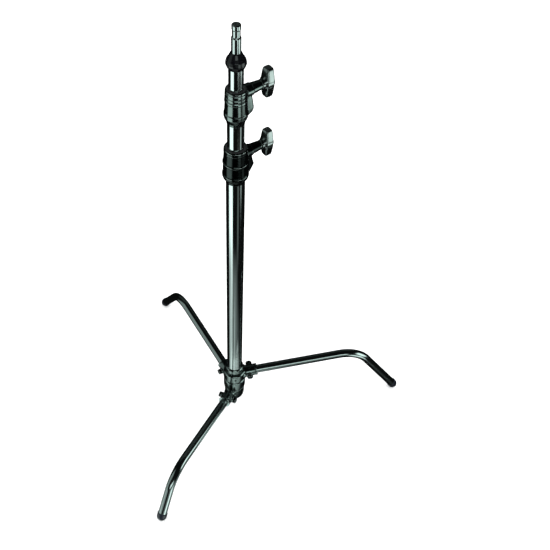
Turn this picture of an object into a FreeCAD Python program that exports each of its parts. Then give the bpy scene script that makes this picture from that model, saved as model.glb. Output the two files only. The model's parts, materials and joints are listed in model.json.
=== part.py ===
"""Century stand: three-section column on a folding three-leg base.

Millimetres, +Z up. The origin is on the column's axis at floor level. The driving sizes are in
the spreadsheet, every piece is a PartDesign body bound to them, and each leg and each lock is
built along +X in a frame of its own and then turned about the column to its heading.
"""
import FreeCAD, Part
import Sketcher
import math
import os

from FreeCAD import Placement, Rotation, Vector

doc = FreeCAD.newDocument("century_stand")
pieces = []

SIZES = {
    # column tubes, each running inside the one below
    "tube_wall": 1.5, "base_tube_od": 35, "riser_a_od": 30, "riser_b_od": 25,
    "base_tube_foot": 38, "base_tube_top": 800, "riser_a_foot": 53.3, "riser_a_top": 928,
    "riser_b_foot": 61.3, "riser_b_top": 1006,
    # play between running parts, and a plain gap between faces that only pass each other
    "play": 0.05, "gap": 0.2, "guide_height": 25, "guide_floor": 3,
    # cast clamp collars
    "lower_collar_foot": 755, "lower_collar_top": 831, "upper_collar_foot": 884, "upper_collar_top": 952,
    "lug_thickness": 16, "liner_wall": 2.5, "lower_liner_foot": 819, "upper_liner_foot": 946,
    # clamp screws
    "lower_lock_height": 810.5, "upper_lock_height": 939.5, "lock_heading": 35.5,
    "pad_radius": 5, "pad_length": 6.2, "pad_gap": 0.3, "pad_bore_reach": 3, "screw_radius": 4,
    "boss_root": 12, "lower_boss_end": 51.5, "upper_boss_end": 48, "boss_root_radius": 10.3,
    "boss_end_radius": 8.4, "neck_flare": 1.5,
    "lower_knob_reach": 68, "upper_knob_reach": 64,
    "knob_neck": 15, "knob_thickness": 16, "knob_half_height": 27.5, "knob_hub_radius": 11.5,
    "knob_tip_half_width": 7.5, "knob_tip_round": 2.5,
    # baby pin and the cap that carries it
    "cap_foot": 995, "cap_top": 1019, "cap_radius": 17, "pin_radius": 8, "pin_shoulder": 1044.5,
    "pin_top": 1067, "pin_neck_radius": 6.7, "pin_head_radius": 7.5, "pin_foot": 988,
    "pin_shank_radius": 6.5, "cross_pin_radius": 1.5, "cross_pin_height": 1001,
    # leg hub
    "base_pin_radius": 2.5, "base_pin_above_foot": 6, "base_pin_inset": 5, "set_screw_radius": 2.5,
    "hub_radius": 26, "ring_play": 0.08, "ring_edge": 1, "bottom_ring_top": 76.5, "bulb_foot": 28,
    "bulb_radius": 23.5,
    "middle_ring_foot": 78, "middle_ring_top": 109.4, "top_ring_foot": 111, "top_ring_top": 139.4,
    "washer_radius": 24, "stop_collar_foot": 142, "stop_collar_top": 157, "stop_collar_radius": 20.8,
    "socket_radius": 14, "socket_start": 20, "socket_end": 54, "bolt_reach": 36, "bolt_boss_radius": 7.2,
    "bolt_boss_half": 16.5, "bolt_radius": 4, "bolt_head_height": 5.3, "bolt_head_corner": 7.5,
    "nut_height": 6.5, "detent_radius": 3, "detent_reach": 23.2,
    # legs: one bend for all three, and a height and an elbow for each
    "leg_od": 20, "leg_wall": 2, "leg_start": 25, "leg_rise": 10, "leg_fall": 55.5, "bend_radius": 70,
    "top_leg_height": 121.7, "top_leg_elbow": 297.5, "top_leg_heading": 5.5,
    "middle_leg_height": 88.9, "middle_leg_elbow": 271, "middle_leg_heading": 122.3,
    "bottom_leg_height": 54.4, "bottom_leg_elbow": 285, "bottom_leg_heading": 242.3,
    "foot_radius": 11.25, "foot_seat": 10.9, "foot_head": 9, "foot_stem": 18,
}

sheet = doc.addObject("Spreadsheet::Sheet", "Sizes")
for row, (alias, millimetres) in enumerate(SIZES.items(), start=1):
    sheet.set(f"A{row}", alias.replace("_", " "))
    sheet.set(f"B{row}", str(millimetres))
    sheet.setAlias(f"B{row}", alias)
doc.recompute()


class Size:
    """A number together with the spreadsheet expression that gives it."""

    def __init__(self, number, text):
        self.number = float(number)
        self.text = text

    def __add__(self, other):
        other = size(other)
        return Size(self.number + other.number, f"({self.text} + {other.text})")

    def __sub__(self, other):
        other = size(other)
        return Size(self.number - other.number, f"({self.text} - {other.text})")

    def __mul__(self, other):
        other = size(other)
        return Size(self.number * other.number, f"({self.text} * {other.text})")

    def __truediv__(self, other):
        other = size(other)
        return Size(self.number / other.number, f"({self.text} / {other.text})")

    def __neg__(self):
        return size(0) - self

    def __radd__(self, other):
        return size(other) + self

    def __rsub__(self, other):
        return size(other) - self

    def __rmul__(self, other):
        return size(other) * self


def size(value):
    """A bare number as a Size, and a Size as it is."""
    return value if isinstance(value, Size) else Size(value, repr(float(value)))


def cell(alias):
    """The Size that stands in one cell of the spreadsheet."""
    return Size(SIZES[alias], f"Sizes.{alias}")


def sine(angle):
    return Size(math.sin(math.radians(angle.number)), f"sin({angle.text})")


def cosine(angle):
    return Size(math.cos(math.radians(angle.number)), f"cos({angle.text})")


def tangent(angle):
    return Size(math.tan(math.radians(angle.number)), f"tan({angle.text})")


def bind(feature, prop, value, unit=""):
    """Ties one property of a feature to an expression."""
    feature.setExpression(prop, size(value).text + unit)


class Piece:
    """One sub-part: a PartDesign body whose features are added in its own upright frame."""

    def __init__(self, label, heading=None):
        self.body = doc.addObject("PartDesign::Body", label)
        self.body.Label = label
        if heading is not None:
            self.body.Placement = Placement(Vector(), Rotation(Vector(0, 0, 1), heading.number))
        pieces.append(self)

    def plane(self, role):
        return next(o for o in self.body.Origin.OriginFeatures if o.Role == role)

    def sketch(self, role):
        new = self.body.newObject("Sketcher::SketchObject", "sketch")
        new.AttachmentSupport = [(self.plane(role), "")]
        new.MapMode = "FlatFace"
        return new

    def outline(self, role, points):
        """A closed outline of straight edges whose corners are tied to expressions."""
        sketch = self.sketch(role)
        corners = [(size(x), size(y)) for x, y in points]
        for n, (x, y) in enumerate(corners):
            ahead = corners[(n + 1) % len(corners)]
            ends = Vector(x.number, y.number, 0), Vector(ahead[0].number, ahead[1].number, 0)
            sketch.addGeometry(Part.LineSegment(*ends), False)
        for n, (x, y) in enumerate(corners):
            sketch.addConstraint(Sketcher.Constraint("Coincident", n - 1 if n else len(corners) - 1, 2, n, 1))
            for kind, value, axis in (("DistanceX", x, -2), ("DistanceY", y, -1)):
                if abs(value.number) < 1e-9:
                    sketch.addConstraint(Sketcher.Constraint("PointOnObject", n, 1, axis))
                    continue
                where = sketch.addConstraint(Sketcher.Constraint(kind, -1, 1, n, 1, value.number))
                bind(sketch, f"Constraints[{where}]", value)
        return sketch

    def turned(self, points, cut=False):
        """A profile of (radius, height) points turned about the piece's upright axis."""
        sketch = self.outline("XZ_Plane", points)
        kind = "PartDesign::Groove" if cut else "PartDesign::Revolution"
        feature = self.body.newObject(kind, "turned")
        feature.Profile = sketch
        feature.ReferenceAxis = (sketch, ["V_Axis"])
        feature.Angle = 360
        return feature

    def slab(self, role, points, thickness):
        """An outline thickened equally to both sides of its plane."""
        feature = self.body.newObject("PartDesign::Pad", "slab")
        feature.Profile = self.outline(role, points)
        feature.Midplane = True
        bind(feature, "Length", thickness)
        return feature

    def place(self, feature, at, along):
        """Puts a primitive at a point, with its own Z axis turned to a direction."""
        feature.Placement = Placement(Vector(), Rotation(Vector(0, 0, 1), Vector(*along)))
        for letter, value in zip("xyz", at):
            bind(feature, f"Placement.Base.{letter}", value)
        return feature

    def rod(self, radius, length, at=(0, 0, 0), along=(0, 0, 1), cut=False):
        """A round bar, or a round hole, that starts at a point and runs along a direction."""
        kind = "PartDesign::SubtractiveCylinder" if cut else "PartDesign::AdditiveCylinder"
        feature = self.body.newObject(kind, "rod")
        bind(feature, "Radius", radius)
        bind(feature, "Height", length)
        return self.place(feature, at, along)

    def cone(self, start_radius, end_radius, length, at, along):
        feature = self.body.newObject("PartDesign::AdditiveCone", "cone")
        bind(feature, "Radius1", start_radius)
        bind(feature, "Radius2", end_radius)
        bind(feature, "Height", length)
        return self.place(feature, at, along)

    def hexagon(self, corner_radius, length, at, along):
        feature = self.body.newObject("PartDesign::AdditivePrism", "hexagon")
        feature.Polygon = 6
        bind(feature, "Circumradius", corner_radius)
        bind(feature, "Height", length)
        return self.place(feature, at, along)

    def soften(self, radius, test):
        """Rounds the edges of the piece that pass a test."""
        doc.recompute()
        tip = self.body.Tip
        names = [f"Edge{n}" for n, edge in enumerate(tip.Shape.Edges, start=1) if test(edge)]
        feature = self.body.newObject("PartDesign::Fillet", "rounding")
        feature.Base = (tip, names)
        feature.Radius = radius
        return feature


PLAY = cell("play")
GAP = cell("gap")
WALL = cell("tube_wall")
BASE_RADIUS = cell("base_tube_od") / 2
RISER_A_RADIUS = cell("riser_a_od") / 2
RISER_B_RADIUS = cell("riser_b_od") / 2


def tube(label, outside, foot, top):
    """A plain round column tube."""
    piece = Piece(label)
    inside = outside - WALL
    piece.turned([(inside, foot), (outside, foot), (outside, top), (inside, top)])
    return piece


def guide_cup(label, outside_tube_bore, tube_radius, foot):
    """The nylon cup on the lower end of a riser: it slides in the tube below, and the riser turns in it."""
    rim = foot + cell("guide_height")
    floor = foot + cell("guide_floor")
    outer = outside_tube_bore - PLAY
    inner = tube_radius + PLAY
    Piece(label).turned([(0, foot), (outer, foot), (outer, rim), (inner, rim), (inner, floor), (0, floor)])


def disc(label, radius, foot, top):
    piece = Piece(label)
    piece.turned([(0, foot), (radius, foot), (radius, top), (0, top)])
    return piece


def ring(label, bore, radius, foot, top, heading=None):
    piece = Piece(label, heading)
    piece.turned([(bore, foot), (radius, foot), (radius, top), (bore, top)])
    return piece


# --- column -------------------------------------------------------------------------------------

def build_base_tube():
    """The lowest tube, its rubber bumper and the roll pin that holds both in the bottom casting."""
    foot = cell("base_tube_foot")
    pin_height = foot + cell("base_pin_above_foot")
    pin_radius = cell("base_pin_radius")
    across = (1, 0, 0)
    column = tube("base_tube", BASE_RADIUS, foot, cell("base_tube_top"))
    bumper_top = cell("riser_a_foot") - cell("guide_floor") - GAP * 1.5
    bumper = disc("base_bumper", BASE_RADIUS - WALL, foot, bumper_top)
    for piece in (column, bumper):
        piece.rod(pin_radius, BASE_RADIUS * 2 + 2, (-BASE_RADIUS - 1, 0, pin_height), across, cut=True)
    half = cell("hub_radius") - cell("base_pin_inset")
    Piece("base_pin").rod(pin_radius, half * 2, (-half, 0, pin_height), across)
    return pin_radius, pin_height, half


def build_risers():
    """The two sliding tubes, each on its guide cup, and the plug that stops the upper one."""
    foot_a = cell("riser_a_foot")
    foot_b = cell("riser_b_foot")
    bore_a = RISER_A_RADIUS - WALL
    tube("riser_1_tube", RISER_A_RADIUS, foot_a, cell("riser_a_top"))
    guide_cup("riser_1_guide", BASE_RADIUS - WALL, RISER_A_RADIUS, foot_a - cell("guide_floor") - GAP / 2)
    guide_foot = foot_b - cell("guide_floor") - GAP / 2
    disc("riser_1_plug", bore_a, foot_a, guide_foot - GAP)
    guide_cup("riser_2_guide", bore_a, RISER_B_RADIUS, guide_foot)
    upper = tube("riser_2_tube", RISER_B_RADIUS, foot_b, cell("riser_b_top"))
    upper.rod(cell("cross_pin_radius"), RISER_B_RADIUS * 2 + 2,
              (-RISER_B_RADIUS - 1, 0, cell("cross_pin_height")), (1, 0, 0), cut=True)


# --- clamp collars and their screws ---------------------------------------------------------------

def build_collar(label, skin, bore, lug, lock_height, boss_end):
    """A die-cast collar: a turned barrel, a lug under the clamp screw, and the screw's boss.

    skin is the outer profile from the foot up, bore the inner profile from the top down, and lug the
    outline of the rib in the radial plane.
    """
    collar = Piece(label, cell("lock_heading"))
    collar.turned(skin + bore)
    collar.slab("XZ_Plane", lug, cell("lug_thickness"))
    root = cell("boss_root")
    collar.cone(cell("boss_root_radius"), cell("boss_end_radius"), boss_end - root,
                (root, 0, lock_height), (1, 0, 0))
    below = skin[0][1] - 1
    collar.turned([(0, below), (bore[-1][0], below)] + bore[::-1] + [(0, bore[0][1])], cut=True)
    return collar


def build_lock(prefix, collar, tube_radius, height, knob_reach):
    """Bores a collar for its clamp screw and makes the brake pad, the screw and the wing knob."""
    outward = (1, 0, 0)
    heading = cell("lock_heading")
    pad_face = tube_radius + cell("pad_gap")
    pad_back = pad_face + cell("pad_length")
    pad_radius = cell("pad_radius")
    screw_radius = cell("screw_radius")
    collar.rod(pad_radius + PLAY, pad_back + cell("pad_bore_reach"), (0, 0, height), outward, cut=True)
    collar.rod(screw_radius + PLAY, knob_reach, (0, 0, height), outward, cut=True)
    Piece(prefix + "_pad", heading).rod(pad_radius, pad_back - pad_face, (pad_face, 0, height), outward)
    screw_end = knob_reach + cell("knob_thickness") / 4
    Piece(prefix + "_screw", heading).rod(screw_radius, screw_end - pad_back, (pad_back, 0, height), outward)
    build_knob(prefix + "_knob", height, knob_reach, screw_end)


def build_knob(label, height, reach, screw_end):
    """A moulded wing knob: a round neck and hub with a wing up and a wing down."""
    half = cell("knob_half_height")
    hub = cell("knob_hub_radius")
    tip = cell("knob_tip_half_width")
    shoulder = hub * 0.55
    wing = [(tip, half), (hub, shoulder), (hub, -shoulder), (tip, -half),
            (-tip, -half), (-hub, -shoulder), (-hub, shoulder), (-tip, half)]
    knob = Piece(label)
    knob.slab("YZ_Plane", wing, cell("knob_thickness"))
    neck = cell("knob_neck")
    start = cell("boss_end_radius")
    knob.cone(start, start + cell("neck_flare"), neck, (-neck, 0, 0), (1, 0, 0))
    knob.rod(cell("screw_radius"), neck + screw_end - reach, (-neck, 0, 0), (1, 0, 0), cut=True)
    knob.soften(cell("knob_tip_round").number, lambda edge: abs(edge.CenterOfMass.z) > half.number - 0.1)
    radians = math.radians(cell("lock_heading").number)
    heading = cell("lock_heading")
    knob.body.Placement = Placement(
        Vector(reach.number * math.cos(radians), reach.number * math.sin(radians), height.number),
        Rotation(Vector(0, 0, 1), heading.number))
    bind(knob.body, "Placement.Base.x", reach * cosine(heading))
    bind(knob.body, "Placement.Base.y", reach * sine(heading))
    bind(knob.body, "Placement.Base.z", height)


def build_liner(label, tube_radius, foot, top):
    ring(label, tube_radius + PLAY, tube_radius + cell("liner_wall"), foot, top - GAP * 2)


def build_lower_collar():
    """The collar on top of the base tube: it clamps the first riser."""
    foot = cell("lower_collar_foot")
    top = cell("lower_collar_top")
    seat = cell("base_tube_top")
    liner_foot = cell("lower_liner_foot")
    riser = RISER_A_RADIUS
    throat = riser + 0.9
    liner = riser + cell("liner_wall")
    skin = [(BASE_RADIUS, foot), (BASE_RADIUS + 0.6, foot), (22.8, foot + 12), (23.1, foot + 15),
            (22.6, foot + 18), (21.7, foot + 19.5), (21.6, seat - 1), (21.2, seat + 0.5), (19.9, seat + 1.5),
            (19.6, top - 2), (18.8, top)]
    bore = [(liner, top), (liner, liner_foot), (throat, liner_foot), (throat, seat), (BASE_RADIUS, seat)]
    lug = [(17, 763), (27.5, 768.5), (36.2, 781), (33.4, 791), (30.5, 808), (30.5, 815), (17, 819)]
    collar = build_collar("base_collar", skin, bore, lug, cell("lower_lock_height"), cell("lower_boss_end"))
    build_liner("base_collar_liner", riser, liner_foot, top)
    build_lock("base_lock", collar, riser, cell("lower_lock_height"), cell("lower_knob_reach"))


def build_upper_collar():
    """The collar on top of the first riser: it clamps the second riser."""
    foot = cell("upper_collar_foot")
    top = cell("upper_collar_top")
    seat = cell("riser_a_top")
    liner_foot = cell("upper_liner_foot")
    riser = RISER_B_RADIUS
    throat = riser + 0.9
    liner = riser + cell("liner_wall")
    skin = [(RISER_A_RADIUS, foot), (RISER_A_RADIUS + 0.5, foot), (19.8, foot + 9), (20.3, foot + 13),
            (20.0, foot + 16), (18.7, foot + 18), (18.6, foot + 29), (18.0, foot + 31), (18.1, foot + 44),
            (17.5, foot + 46), (17.2, top - 2), (16.4, top)]
    bore = [(liner, top), (liner, liner_foot), (throat, liner_foot), (throat, seat), (RISER_A_RADIUS, seat)]
    lug = [(14, 894.5), (22, 895.5), (28.8, 898.5), (32.2, 903), (32.6, 909), (30.6, 921), (28.6, 931),
           (28.6, 943), (14, 946)]
    collar = build_collar("riser_collar", skin, bore, lug, cell("upper_lock_height"), cell("upper_boss_end"))
    build_liner("riser_collar_liner", riser, liner_foot, top)
    build_lock("riser_lock", collar, riser, cell("upper_lock_height"), cell("upper_knob_reach"))


# --- baby pin and cap -----------------------------------------------------------------------------

def build_cap():
    """The ball-shaped cap on the second riser, with a skirt outside the tube and a core inside it."""
    foot = cell("cap_foot")
    top = cell("cap_top")
    radius = cell("cap_radius")
    core = RISER_B_RADIUS - WALL
    core_foot = foot - 4
    middle = foot + 11
    height = top - middle
    dome = [(radius * 0.985, middle + height * 0.25), (radius * 0.9, middle + height * 0.5),
            (radius * 0.75, middle + height * 0.75), (radius * 0.6, middle + height * 0.9),
            (cell("pin_radius") + 0.6, top)]
    belly = [(radius * 0.8, foot), (radius * 0.92, foot + 3.5), (radius * 0.985, foot + 7), (radius, middle)]
    tube_top = cell("riser_b_top")
    socket = [(RISER_B_RADIUS, tube_top), (RISER_B_RADIUS, foot)]
    shank = cell("pin_shank_radius")
    cap = Piece("top_cap")
    plug = [(shank, core_foot), (core, core_foot), (core, tube_top)]
    cap.turned(plug + socket + belly + dome + [(shank, top)])
    cap.rod(cell("cross_pin_radius"), RISER_B_RADIUS * 2, (-RISER_B_RADIUS, 0, cell("cross_pin_height")),
            (1, 0, 0), cut=True)


def build_pin():
    """The 16 mm baby pin: shank in the cap, body, undercut neck and head; and its cross pin."""
    foot = cell("pin_foot")
    body_foot = cell("cap_top") + GAP
    shoulder = cell("pin_shoulder")
    top = cell("pin_top")
    shank = cell("pin_shank_radius")
    radius = cell("pin_radius")
    neck = cell("pin_neck_radius")
    head = cell("pin_head_radius")
    pin = Piece("spigot")
    pin.turned([(0, foot), (shank, foot), (shank, body_foot), (radius, body_foot), (radius, shoulder),
                (neck, shoulder + 2.5), (neck, top - 9), (head, top - 7.5), (head, top - 1.5),
                (head - 1.5, top), (0, top)])
    cross = cell("cross_pin_radius")
    height = cell("cross_pin_height")
    pin.rod(cross, shank * 2 + 2, (-shank - 1, 0, height), (1, 0, 0), cut=True)
    half = RISER_B_RADIUS - 0.1
    Piece("spigot_pin").rod(cross, half * 2, (-half, 0, height), (1, 0, 0))


# --- leg hub and legs -----------------------------------------------------------------------------

def along_leg(reach, height):
    """The point on a leg's rising axis at a distance from the column, in the leg's own frame."""
    return (reach, 0, height + reach * tangent(cell("leg_rise")))


def leg_direction(angle):
    """A unit vector in the leg's own plane, at an angle above the horizontal in degrees."""
    radians = math.radians(angle)
    return (math.cos(radians), 0, math.sin(radians))


def build_casting(label, profile, bore, bore_foot, height, heading):
    """A hub ring with the leg's socket and the cross-bolt's boss cast on it."""
    casting = Piece(label, heading)
    casting.turned(profile)
    slope = leg_direction(cell("leg_rise").number)
    start = cell("socket_start")
    length = (cell("socket_end") - start) / cosine(cell("leg_rise"))
    casting.rod(cell("socket_radius"), length, along_leg(start, height), slope)
    reach = cell("bolt_reach")
    half = cell("bolt_boss_half")
    bolt = along_leg(reach, height)
    casting.rod(cell("bolt_boss_radius"), half * 2, (bolt[0], -half, bolt[2]), (0, 1, 0))
    casting.rod(bore, cell("hub_radius") * 3, (0, 0, bore_foot), cut=True)
    socket_foot = along_leg(cell("leg_start"), height)
    casting.rod(cell("leg_od") / 2, cell("socket_end") * 2, socket_foot, slope, cut=True)
    casting.rod(cell("bolt_radius"), half * 2 + 2, (bolt[0], -half - 1, bolt[2]), (0, 1, 0), cut=True)
    return casting


def build_leg(name, height, elbow, heading):
    """The bent tube, the rubber foot and the cross bolt with its nut, for one leg."""
    rise = cell("leg_rise")
    fall = cell("leg_fall")
    radius = cell("leg_od") / 2
    start = cell("leg_start")
    setback = cell("bend_radius") * tangent((rise + fall) / 2)
    run = (elbow - start) / cosine(rise) - setback
    elbow_height = height + elbow * tangent(rise)
    foot_height = cell("foot_seat")
    drop = (elbow_height - foot_height) / sine(fall) - setback - cell("foot_head")
    build_leg_tube(name + "_tube", height, heading, run, drop)
    foot_reach = elbow + (elbow_height - foot_height) / tangent(fall)
    build_foot(name + "_foot", foot_reach, heading, radius)
    build_bolt(name, height, heading)


def build_leg_tube(label, height, heading, run, drop):
    """A tube swept along a straight run, one round bend and a straight drop."""
    rise = cell("leg_rise").number
    bend = cell("leg_rise") + cell("leg_fall")
    bend_radius = cell("bend_radius")
    leg = Piece(label)
    path = leg.sketch("XZ_Plane")
    turn = math.radians(bend.number)
    knee = Vector(run.number, 0, 0)
    centre = knee - Vector(0, bend_radius.number, 0)
    ankle = centre + Vector(math.sin(turn), math.cos(turn), 0) * bend_radius.number
    end = ankle + Vector(math.cos(turn), -math.sin(turn), 0) * drop.number
    circle = Part.Circle(centre, Vector(0, 0, 1), bend_radius.number)
    path.addGeometry(Part.LineSegment(Vector(), knee), False)
    path.addGeometry(Part.ArcOfCircle(circle, math.pi / 2 - turn, math.pi / 2), False)
    path.addGeometry(Part.LineSegment(ankle, end), False)
    path.addConstraint(Sketcher.Constraint("Coincident", 0, 1, -1, 1))
    path.addConstraint(Sketcher.Constraint("Horizontal", 0))
    path.addConstraint(Sketcher.Constraint("Tangent", 0, 2, 1, 2))
    path.addConstraint(Sketcher.Constraint("Tangent", 1, 1, 2, 1))
    for kind, line, value in (("Distance", 0, run), ("Radius", 1, bend_radius), ("Distance", 2, drop)):
        where = path.addConstraint(Sketcher.Constraint(kind, line, value.number))
        bind(path, f"Constraints[{where}]", value)
    slope = path.addConstraint(Sketcher.Constraint("Angle", -1, 1, 2, 1, -turn))
    bind(path, f"Constraints[{slope}]", -bend, " * 1 deg")
    section = leg.sketch("YZ_Plane")
    outside = cell("leg_od") / 2
    for n, value in enumerate((outside, outside - cell("leg_wall"))):
        section.addGeometry(Part.Circle(Vector(), Vector(0, 0, 1), value.number), False)
        section.addConstraint(Sketcher.Constraint("Coincident", n, 3, -1, 1))
        where = section.addConstraint(Sketcher.Constraint("Radius", n, value.number))
        bind(section, f"Constraints[{where}]", value)
    sweep = leg.body.newObject("PartDesign::AdditivePipe", "sweep")
    sweep.Profile = section
    sweep.Spine = (path, ["Edge1", "Edge2", "Edge3"])
    bolt = (cell("bolt_reach") - cell("leg_start")) / cosine(cell("leg_rise"))
    leg.rod(cell("bolt_radius"), cell("leg_od") + 2, (bolt, -outside - 1, 0), (0, 1, 0), cut=True)
    start = along_leg(cell("leg_start"), height)
    turned = Rotation(Vector(0, 0, 1), heading.number) * Rotation(Vector(0, 1, 0), -rise)
    leg.body.Placement = Placement(Vector(), turned)
    bind(leg.body, "Placement.Base.x", start[0] * cosine(heading))
    bind(leg.body, "Placement.Base.y", start[0] * sine(heading))
    bind(leg.body, "Placement.Base.z", start[2])


def build_foot(label, reach, heading, tube_radius):
    """A rubber end plug: a stem inside the tube, and a round head with a flat where it stands."""
    foot = Piece(label, heading)
    head = cell("foot_radius")
    seat = cell("foot_seat")
    up_the_leg = leg_direction(180 - cell("leg_fall").number)
    centre = (reach, 0, seat)
    ball = foot.body.newObject("PartDesign::AdditiveSphere", "ball")
    bind(ball, "Radius", head)
    foot.place(ball, centre, (0, 0, 1))
    foot.rod(head, cell("foot_head"), centre, up_the_leg)
    foot.rod(tube_radius - cell("leg_wall"), cell("foot_head") + cell("foot_stem"), centre, up_the_leg)
    foot.rod(head * 2, head, (reach, 0, -head), (0, 0, 1), cut=True)


def build_bolt(name, height, heading):
    """The hexagon-head bolt across the socket, and the nut on its far end."""
    half = cell("bolt_boss_half")
    x, _, z = along_leg(cell("bolt_reach"), height)
    head = cell("bolt_head_height")
    nut = cell("nut_height")
    corner = cell("bolt_head_corner")
    bolt = Piece(name + "_bolt", heading)
    bolt.hexagon(corner, head, (x, -half - head, z), (0, 1, 0))
    bolt.rod(cell("bolt_radius"), half * 2 + nut + head + 1, (x, -half - head, z), (0, 1, 0))
    hexagon = Piece(name + "_nut", heading)
    hexagon.hexagon(corner, nut, (x, half, z), (0, 1, 0))
    hexagon.rod(cell("bolt_radius"), nut + 2, (x, half - 1, z), (0, 1, 0), cut=True)


def build_detent(name, casting, height, heading):
    """The spring detent screwed into a turning ring from its side, and its hole."""
    reach = cell("detent_reach")
    bore = BASE_RADIUS + cell("ring_play")
    casting.rod(cell("detent_radius"), cell("hub_radius"), (0, 0, height), (0, -1, 0), cut=True)
    Piece(name + "_detent", heading).rod(
        cell("detent_radius"), reach - bore - 0.3, (0, -bore - 0.3, height), (0, -1, 0))


def build_turning_leg(name, foot, top):
    """A leg whose hub ring turns on the base tube."""
    height = cell(name + "_height")
    heading = cell(name + "_heading")
    bore = BASE_RADIUS + cell("ring_play")
    radius = cell("hub_radius")
    edge = cell("ring_edge")
    profile = [(bore, foot), (radius - edge, foot), (radius, foot + edge), (radius, top - edge),
               (radius - edge, top), (bore, top)]
    casting = build_casting(name + "_casting", profile, bore, foot - radius, height, heading)
    build_detent(name, casting, (foot + top) / 2, heading)
    build_leg(name, height, cell(name + "_elbow"), heading)


def build_fixed_leg(pin_radius, pin_height, pin_half):
    """The bottom leg, whose casting is a cup pinned to the foot of the base tube."""
    height = cell("bottom_leg_height")
    heading = cell("bottom_leg_heading")
    foot = cell("bulb_foot")
    top = cell("bottom_ring_top")
    radius = cell("bulb_radius")
    profile = [(0, foot), (radius * 0.45, foot), (radius * 0.72, foot + 3), (radius * 0.9, foot + 9),
               (radius, foot + 18), (radius, top - 8), (radius + 1, top - 6), (radius + 1, top), (0, top)]
    bore_foot = cell("base_tube_foot")
    casting = build_casting("bottom_leg_casting", profile, BASE_RADIUS, bore_foot, height, heading)
    radians = math.radians(-heading.number)
    across = (math.cos(radians), math.sin(radians), 0)
    start = (pin_half * -across[0], pin_half * -across[1], pin_height)
    casting.rod(pin_radius, pin_half * 2, start, across, cut=True)
    build_leg("bottom_leg", height, cell("bottom_leg_elbow"), heading)


def build_hub_rings():
    """The washers between the castings, and the spring and stop collar above them."""
    bore = BASE_RADIUS + PLAY
    washer = cell("washer_radius")
    ring("lower_hub_washer", bore, washer, cell("bottom_ring_top"), cell("middle_ring_foot") - GAP)
    ring("upper_hub_washer", bore, washer, cell("middle_ring_top") + GAP, cell("top_ring_foot") - GAP)
    collar_foot = cell("stop_collar_foot")
    radius = cell("stop_collar_radius")
    ring("hub_wave_spring", bore, radius - 1, cell("top_ring_top") + GAP, collar_foot)
    collar = ring("hub_stop_collar", BASE_RADIUS, radius, collar_foot, cell("stop_collar_top"))
    screw_radius = cell("set_screw_radius")
    middle = (collar_foot + cell("stop_collar_top")) / 2
    collar.rod(screw_radius, radius, (0, 0, middle), (0, 1, 0), cut=True)
    Piece("hub_set_screw").rod(screw_radius, radius - BASE_RADIUS - 0.6, (0, BASE_RADIUS, middle), (0, 1, 0))


def export(folder):
    """Checks the whole document, then writes one STEP file for each piece."""
    doc.recompute()
    for item in doc.Objects:
        if {"Invalid", "Error"} & set(item.State):
            raise RuntimeError(f"{item.Label} failed: {item.State}")
    os.makedirs(folder, exist_ok=True)
    for piece in pieces:
        shape = piece.body.Shape
        if shape.isNull() or not shape.isValid() or len(shape.Solids) != 1:
            raise RuntimeError(f"{piece.body.Label} is not one sound solid")
        shape.exportStep(f"{folder}/{piece.body.Label}.step")
        print(f"{piece.body.Label:22s} {shape.Volume / 1000:8.2f} cm3")
    print(len(pieces), "pieces")


build_fixed_leg(*build_base_tube())
build_hub_rings()
build_turning_leg("middle_leg", cell("middle_ring_foot"), cell("middle_ring_top"))
build_turning_leg("top_leg", cell("top_ring_foot"), cell("top_ring_top"))
build_risers()
build_lower_collar()
build_upper_collar()
build_cap()
build_pin()
export("parts")
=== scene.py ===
# %% [markdown]
# # A century stand, piece by piece
# A century stand is the steel column that holds a lamp or a flag in a studio: three tubes that
# slide in each other, two clamp collars with wing knobs, and a hub with three bent legs that fold
# together. The design model gives every piece its place. This lesson gives each piece the surface
# that the eye sees: round walls without facets, rounded edges that catch the light, and finishes
# that are written as node recipes.

# %% Load the frame
import json
import math

import bmesh
import bpy
import numpy as np
from mathutils import Matrix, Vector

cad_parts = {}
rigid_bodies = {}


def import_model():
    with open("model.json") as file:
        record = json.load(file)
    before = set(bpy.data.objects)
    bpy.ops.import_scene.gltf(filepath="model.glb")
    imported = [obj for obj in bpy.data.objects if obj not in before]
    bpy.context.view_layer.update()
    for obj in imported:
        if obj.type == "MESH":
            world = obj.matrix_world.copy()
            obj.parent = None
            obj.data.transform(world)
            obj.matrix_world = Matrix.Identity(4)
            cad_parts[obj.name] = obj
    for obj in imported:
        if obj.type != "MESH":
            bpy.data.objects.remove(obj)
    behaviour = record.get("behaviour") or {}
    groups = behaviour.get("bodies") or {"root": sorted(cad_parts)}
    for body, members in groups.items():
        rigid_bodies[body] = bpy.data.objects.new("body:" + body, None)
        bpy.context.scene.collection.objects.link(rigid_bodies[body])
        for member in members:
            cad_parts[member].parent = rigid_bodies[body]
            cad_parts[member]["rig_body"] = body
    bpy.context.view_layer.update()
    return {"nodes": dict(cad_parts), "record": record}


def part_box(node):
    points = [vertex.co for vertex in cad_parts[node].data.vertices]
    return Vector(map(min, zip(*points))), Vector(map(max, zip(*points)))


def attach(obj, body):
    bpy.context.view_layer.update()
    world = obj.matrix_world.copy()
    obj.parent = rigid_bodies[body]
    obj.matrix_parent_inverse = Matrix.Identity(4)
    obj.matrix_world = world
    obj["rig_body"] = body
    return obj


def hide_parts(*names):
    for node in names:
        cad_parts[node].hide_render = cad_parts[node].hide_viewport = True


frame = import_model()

SLOT = {entry["node"]: entry["material_slot"] for entry in frame["record"]["subparts"]}
MOUNT = {mount["name"]: mount for mount in frame["record"]["mounts"]}

# %% [markdown]
# ## Measures
# All shapes below are worked out in millimetres, as a machinist would, and one factor turns them
# into Blender's metres when a mesh is made. Heights and reaches are read from the frame.

# %% Read a place from the frame
MM = 0.001


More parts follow.
